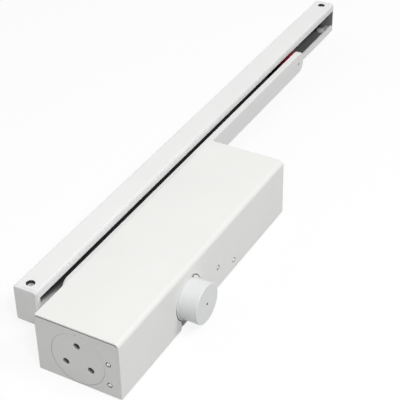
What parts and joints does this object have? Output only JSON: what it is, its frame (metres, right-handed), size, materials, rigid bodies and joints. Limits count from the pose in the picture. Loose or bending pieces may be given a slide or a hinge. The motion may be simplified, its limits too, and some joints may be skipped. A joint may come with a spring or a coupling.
{
  "type": "slide arm door closer",
  "caption": "Door closer with a long box body, a round spindle cap, a flat arm and a slide rail; a rack and pinion and a spring turn the spindle to shut a door.",
  "frame": {"origin": "centre of the body's four screw holes, on the mounting plane of the body", "axes": "+X along the body towards the free end of the arm, +Y from the spindle cap to the rail, +Z out of the mounting plane"},
  "size_m": [0.4985, 0.1133, 0.0457],
  "materials": {
    "white_casting": "satin white paint on cast aluminium",
    "white_cover": "satin white powder coat on sheet",
    "white_arm": "satin white powder coat on steel",
    "white_rail": "satin white powder coat on an aluminium extrusion",
    "white_cap": "smooth cool white paint",
    "white_plastic": "moulded, satin",
    "red_plastic": "moulded, low friction",
    "zinc_steel": "turned and zinc plated",
    "bearing_steel": "ground",
    "spring_steel": "oil tempered wire",
    "piston_iron": "machined",
    "bright_aluminium": "turned",
    "valve_brass": "turned",
    "seal_rubber": "moulded"
  },
  "bodies": {
    "closer_body": {"body_casting": "white_casting", "cover": "white_cover", "front_plug": "white_casting", "front_plug_seal": "seal_rubber", "rear_plug": "white_casting", "rear_plug_seal": "seal_rubber", "arm_side_bearing": "bearing_steel", "cap_side_bearing": "bearing_steel", "arm_side_seal": "seal_rubber", "cap_side_seal": "seal_rubber", "arm_side_gland": "zinc_steel", "cap_flange": "white_casting", "cap_flange_screws": "zinc_steel", "spindle_cap": "white_cap", "return_spring": "spring_steel"},
    "spindle_and_arm": {"pinion_spindle": "zinc_steel", "arm": "white_arm", "arm_screw": "zinc_steel", "pivot_pin": "zinc_steel", "slider_washer": "zinc_steel"},
    "slide_block": {"slider": "red_plastic"},
    "slide_rail": {"rail": "white_rail", "rail_cap_near": "white_plastic", "rail_cap_far": "white_plastic", "rail_sleeves": "bright_aluminium"},
    "rack_piston": {"piston": "piston_iron", "piston_seal": "seal_rubber", "check_retainer": "valve_brass"},
    "ball_of_check_valve": {"check_ball": "bearing_steel"},
    "closing_screw": {"closing_valve": "zinc_steel", "closing_valve_seal": "seal_rubber"},
    "latching_screw": {"latching_valve": "zinc_steel", "latching_valve_seal": "seal_rubber"},
    "backcheck_screw": {"backcheck_valve": "zinc_steel", "backcheck_valve_seal": "seal_rubber"},
    "delay_screw": {"delay_valve": "zinc_steel", "delay_valve_seal": "seal_rubber"}
  },
  "joints": [
    {"name": "spindle_turn", "type": "hinge", "parent": "closer_body", "child": "spindle_and_arm", "pos_m": [-0.0285, 0, 0.0205], "axis": [0, -1, 0], "range_deg": [0, 165], "stiffness_Nm_per_rad": 3, "springref_deg": -171.89},
    {"name": "piston_slide", "type": "slide", "parent": "closer_body", "child": "rack_piston", "axis": [1, 0, 0], "range_m": [0, 0.026], "deforming": ["return_spring"]},
    {"name": "check_ball_lift", "type": "slide", "parent": "rack_piston", "child": "ball_of_check_valve", "axis": [-1, 0, 0], "range_m": [0, 0.0006]},
    {"name": "slider_pivot", "type": "hinge", "parent": "spindle_and_arm", "child": "slide_block", "pos_m": [0.291, 0.052, 0.0205], "axis": [0, 1, 0], "range_deg": [-90, 90]},
    {"name": "rail_slide", "type": "slide", "parent": "slide_block", "child": "slide_rail", "axis": [1, 0, 0], "range_m": [-0.066, 0.348]},
    {"name": "closing_valve_turn", "type": "hinge", "parent": "closer_body", "child": "closing_screw", "pos_m": [-0.107, -0.0229, 0.02615], "axis": [-1, 0, 0], "range_deg": [-180, 180]},
    {"name": "latching_valve_turn", "type": "hinge", "parent": "closer_body", "child": "latching_screw", "pos_m": [-0.107, -0.0229, 0.009], "axis": [-1, 0, 0], "range_deg": [-180, 180]},
    {"name": "backcheck_valve_turn", "type": "hinge", "parent": "closer_body", "child": "backcheck_screw", "pos_m": [0.0118, -0.026, 0.0175], "axis": [0, -1, 0], "range_deg": [-180, 180]},
    {"name": "delay_valve_turn", "type": "hinge", "parent": "closer_body", "child": "delay_screw", "pos_m": [0.0349, -0.026, 0.0082], "axis": [0, -1, 0], "range_deg": [-180, 180]}
  ],
  "couplings": [
    {"joint": "piston_slide", "follows": "spindle_turn", "m_per_rad": 0.009}
  ]
}
